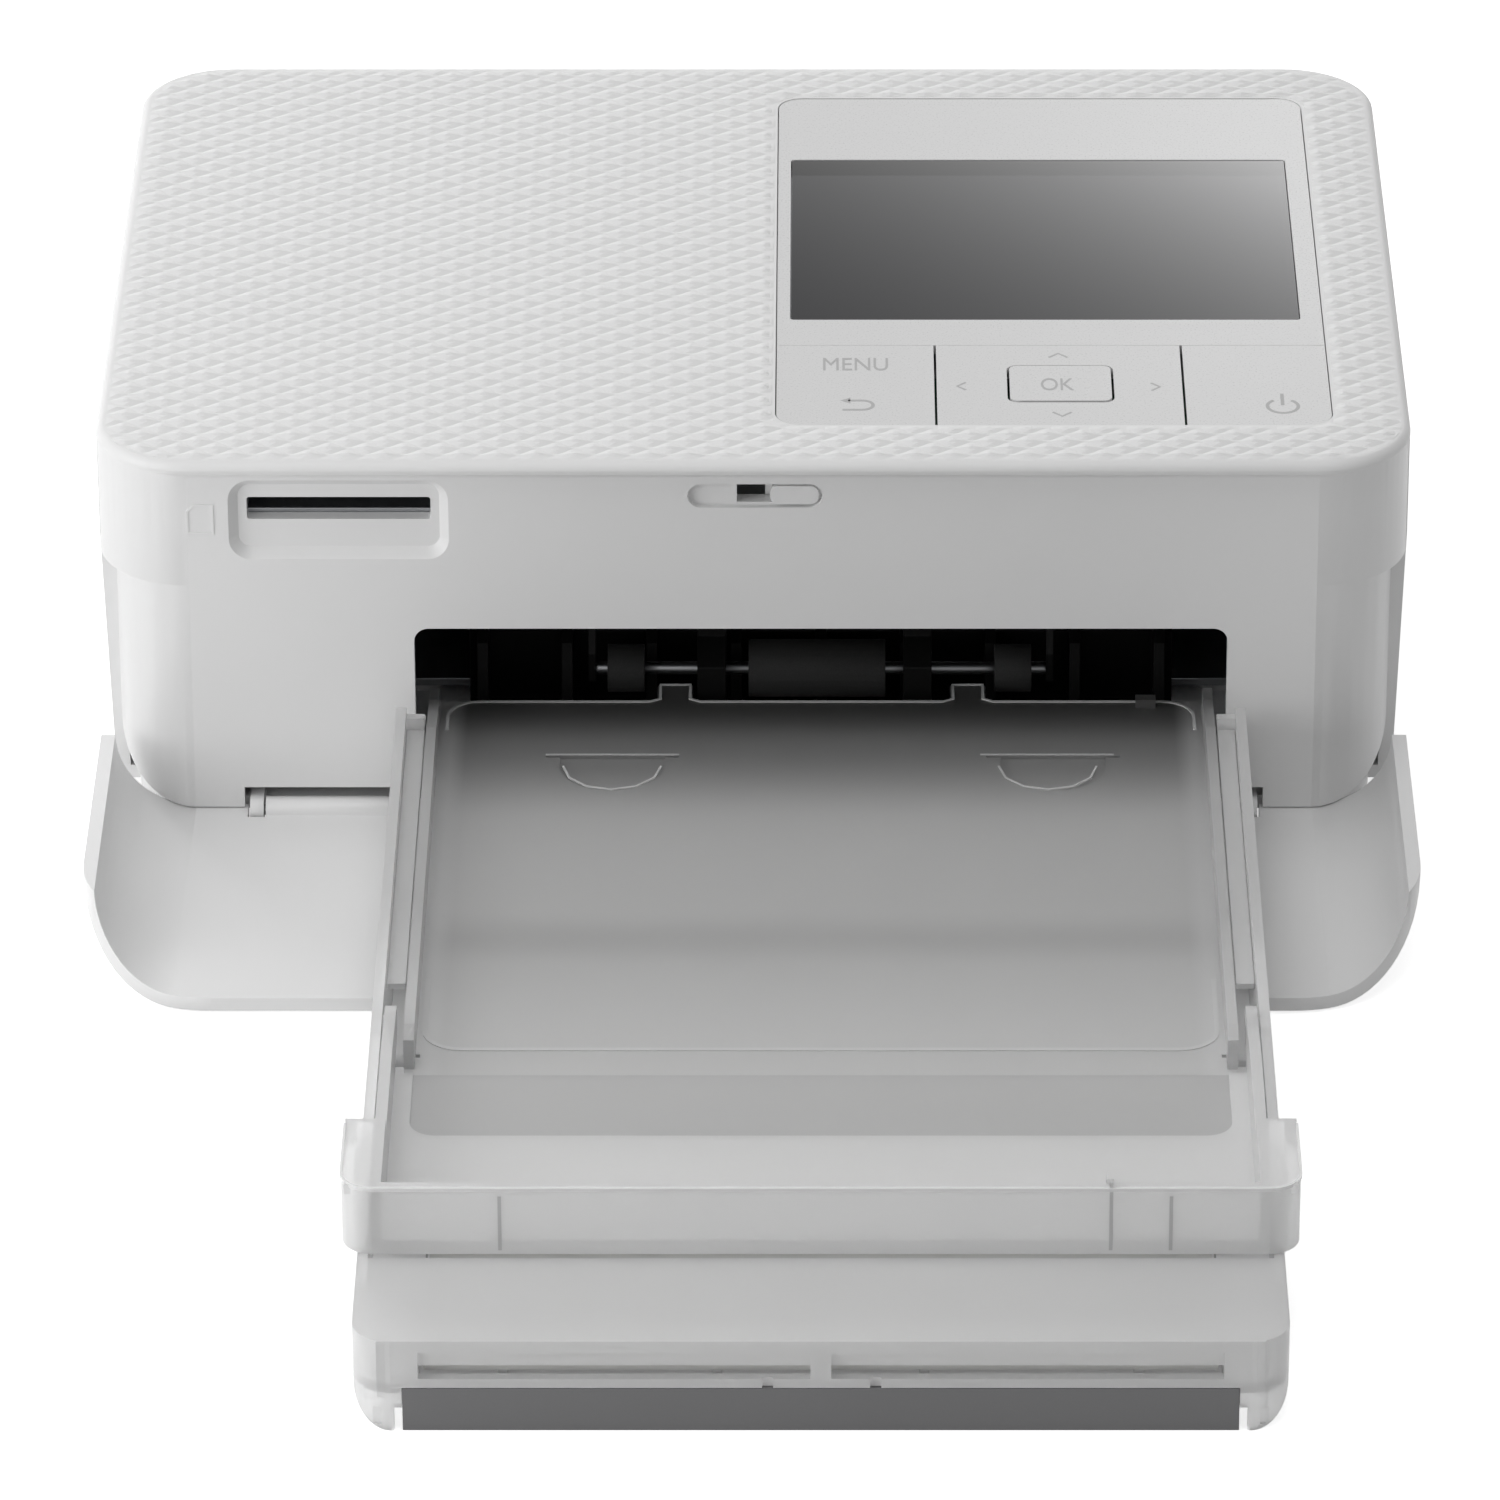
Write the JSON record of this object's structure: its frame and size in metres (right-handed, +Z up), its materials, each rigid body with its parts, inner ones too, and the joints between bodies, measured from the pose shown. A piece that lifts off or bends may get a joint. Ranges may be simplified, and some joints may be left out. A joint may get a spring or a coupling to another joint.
{
  "type": "compact photo printer",
  "caption": "Compact photo printer with a textured top, screen and keys flush in its top, open front cover and a translucent paper cassette with a catch tray.",
  "frame": {"origin": "middle of the whole footprint, on the surface that the printer stands on", "axes": "+X to the printer's right as its user faces it, +Y from the front towards the back, +Z up"},
  "size_m": [0.1824, 0.2908, 0.0574],
  "materials": {
    "white_abs": "fine moulded texture",
    "white_satin": "satin moulded",
    "panel_film": "satin film",
    "display_glass": "glossy hard coat",
    "frosted_clear": "frosted translucent",
    "grey_rubber": "matt",
    "black_plastic": "matt",
    "dark_rubber": "ground rubber",
    "zinc_sheet": "zinc plated sheet",
    "steel_pin": "ground",
    "green_board": "solder mask",
    "white_acetal": "smooth",
    "brass_gear": "machined",
    "fin_aluminium": "extruded",
    "ink_ribbon": "thin film",
    "cartridge_grey": "moulded",
    "paper_white": "glossy photo paper back"
  },
  "bodies": {
    "case": {"lower_case": "white_abs", "upper_case": "white_abs", "top_cover": "white_abs", "front_panel": "white_satin", "control_panel": "panel_film", "display_window": "display_glass", "display_module": "zinc_sheet", "key_board": "green_board", "main_board": "green_board", "card_socket": "zinc_sheet", "usb_socket": "steel_pin", "power_jack": "black_plastic", "cover_hinge_pins": "steel_pin", "ink_door_pin": "steel_pin", "chassis": "zinc_sheet", "gear_plate": "zinc_sheet", "shaft_bushes": "white_acetal", "head_pivot_pins": "steel_pin", "drive_motor": "zinc_sheet", "pickup_bracket": "black_plastic", "paper_guide": "black_plastic", "rear_guide": "black_plastic", "fan_frame": "black_plastic", "rubber_feet": "dark_rubber", "case_screws": "steel_pin"},
    "cover": {"front_cover": "white_satin"},
    "menu_key": {"menu_key": "panel_film"},
    "four_way_key": {"four_way_key": "panel_film"},
    "ok_key": {"ok_key": "panel_film"},
    "power_key": {"power_key": "panel_film"},
    "latch": {"latch_slider": "white_satin"},
    "door": {"ink_door": "white_abs"},
    "cartridge": {"ink_cartridge": "cartridge_grey", "ink_film": "ink_ribbon"},
    "supply": {"supply_spool": "ink_ribbon"},
    "take_up": {"take_up_spool": "cartridge_grey"},
    "head": {"thermal_head": "fin_aluminium", "heat_sink": "fin_aluminium"},
    "platen": {"platen_roller": "dark_rubber", "platen_gear": "white_acetal"},
    "feed": {"feed_roller": "steel_pin", "feed_gear": "white_acetal"},
    "pinch": {"pinch_roller": "steel_pin"},
    "idler": {"idler_gear": "white_acetal"},
    "motor_rotor": {"motor_pinion": "brass_gear"},
    "pickup": {"pickup_shaft": "steel_pin", "pickup_rollers": "dark_rubber"},
    "fan": {"fan_rotor": "black_plastic"},
    "cassette": {"cassette_tray": "frosted_clear", "cassette_foot_strip": "grey_rubber", "inner_lid_pins": "frosted_clear", "catch_tray_pins": "frosted_clear", "paper_stack": "paper_white"},
    "print_lid": {"inner_lid": "frosted_clear"},
    "catch": {"catch_tray": "frosted_clear"},
    "lift": {"lift_plate": "zinc_sheet"}
  },
  "joints": [
    {"name": "cover_hinge", "type": "hinge", "parent": "case", "child": "cover", "pos_m": [0, 0.01435, 0.0023], "axis": [-1, 0, 0], "range_deg": [0, 1.3]},
    {"name": "cassette_slide", "type": "slide", "parent": "case", "child": "cassette", "axis": [0, -1, 0], "range_m": [0, 0.06]},
    {"name": "inner_lid_hinge", "type": "hinge", "parent": "cassette", "child": "print_lid", "pos_m": [0.0094, -0.07405, 0.01255], "axis": [1, 0, 0], "range_deg": [0, 8]},
    {"name": "catch_tray_hinge", "type": "hinge", "parent": "cassette", "child": "catch", "pos_m": [0.0094, -0.07355, 0.0179], "axis": [1, 0, 0], "range_deg": [-160, 0]},
    {"name": "lift_plate_pivot", "type": "hinge", "parent": "cassette", "child": "lift", "pos_m": [0.0094, -0.01855, 0.0069], "axis": [-1, 0, 0], "range_deg": [0, 0.5], "stiffness_Nm_per_rad": 0.05, "springref_deg": -11.46},
    {"name": "menu_key_press", "type": "hinge", "parent": "case", "child": "menu_key", "pos_m": [0.014, 0.04995, 0.0566], "axis": [1, 0, 0], "range_deg": [0, 0.8], "stiffness_Nm_per_rad": 0.5, "springref_deg": -0.57},
    {"name": "four_way_key_press", "type": "hinge", "parent": "case", "child": "four_way_key", "pos_m": [0.0427, 0.04995, 0.0566], "axis": [1, 0, 0], "range_deg": [0, 0.8], "stiffness_Nm_per_rad": 0.5, "springref_deg": -0.57},
    {"name": "power_key_press", "type": "hinge", "parent": "case", "child": "power_key", "pos_m": [0.07, 0.04995, 0.0566], "axis": [1, 0, 0], "range_deg": [0, 0.8], "stiffness_Nm_per_rad": 0.5, "springref_deg": -0.57},
    {"name": "ok_key_press", "type": "slide", "parent": "case", "child": "ok_key", "axis": [0, 0, -1], "range_m": [0, 0.0003], "stiffness_N_per_m": 400, "springref_m": -0.0005},
    {"name": "latch_slide", "type": "slide", "parent": "case", "child": "latch", "axis": [-1, 0, 0], "range_m": [0, 0.004], "stiffness_N_per_m": 60, "springref_m": -0.003},
    {"name": "ink_door_hinge", "type": "hinge", "parent": "case", "child": "door", "pos_m": [0.0889, 0.12585, 0.036], "axis": [0, 0, 1], "range_deg": [0, 90]},
    {"name": "ink_cartridge_slide", "type": "slide", "parent": "case", "child": "cartridge", "axis": [1, 0, 0], "range_m": [0, 0.005]},
    {"name": "supply_spool_spin", "type": "hinge", "parent": "cartridge", "child": "supply", "pos_m": [0.01, 0.07045, 0.034], "axis": [1, 0, 0], "continuous": true},
    {"name": "take_up_spool_spin", "type": "hinge", "parent": "cartridge", "child": "take_up", "pos_m": [0.01, 0.10645, 0.034], "axis": [1, 0, 0], "continuous": true},
    {"name": "head_lift", "type": "hinge", "parent": "case", "child": "head", "pos_m": [0.01, 0.12445, 0.0176], "axis": [-1, 0, 0], "range_deg": [0, 2]},
    {"name": "platen_spin", "type": "hinge", "parent": "case", "child": "platen", "pos_m": [0.01, 0.08745, 0.0135], "axis": [1, 0, 0], "continuous": true},
    {"name": "feed_spin", "type": "hinge", "parent": "case", "child": "feed", "pos_m": [0.01, 0.05245, 0.016], "axis": [1, 0, 0], "continuous": true},
    {"name": "idler_spin", "type": "hinge", "parent": "case", "child": "idler", "pos_m": [-0.057, 0.06953, 0.02081], "axis": [1, 0, 0], "continuous": true},
    {"name": "motor_spin", "type": "hinge", "parent": "case", "child": "motor_rotor", "pos_m": [-0.06, 0.09392, 0.02472], "axis": [1, 0, 0], "continuous": true},
    {"name": "pinch_spin", "type": "hinge", "parent": "case", "child": "pinch", "pos_m": [0.01, 0.05245, 0.023], "axis": [1, 0, 0], "continuous": true},
    {"name": "pickup_spin", "type": "hinge", "parent": "case", "child": "pickup", "pos_m": [0.01, 0.03445, 0.0142], "axis": [1, 0, 0], "continuous": true},
    {"name": "fan_spin", "type": "hinge", "parent": "case", "child": "fan", "pos_m": [-0.069, 0.13545, 0.0325], "axis": [0, 1, 0], "continuous": true}
  ],
  "couplings": [
    {"joint": "feed_spin", "follows": "platen_spin", "ratio": 1.2857},
    {"joint": "idler_spin", "follows": "platen_spin", "ratio": -0.6},
    {"joint": "motor_spin", "follows": "platen_spin", "ratio": -1.2857}
  ]
}
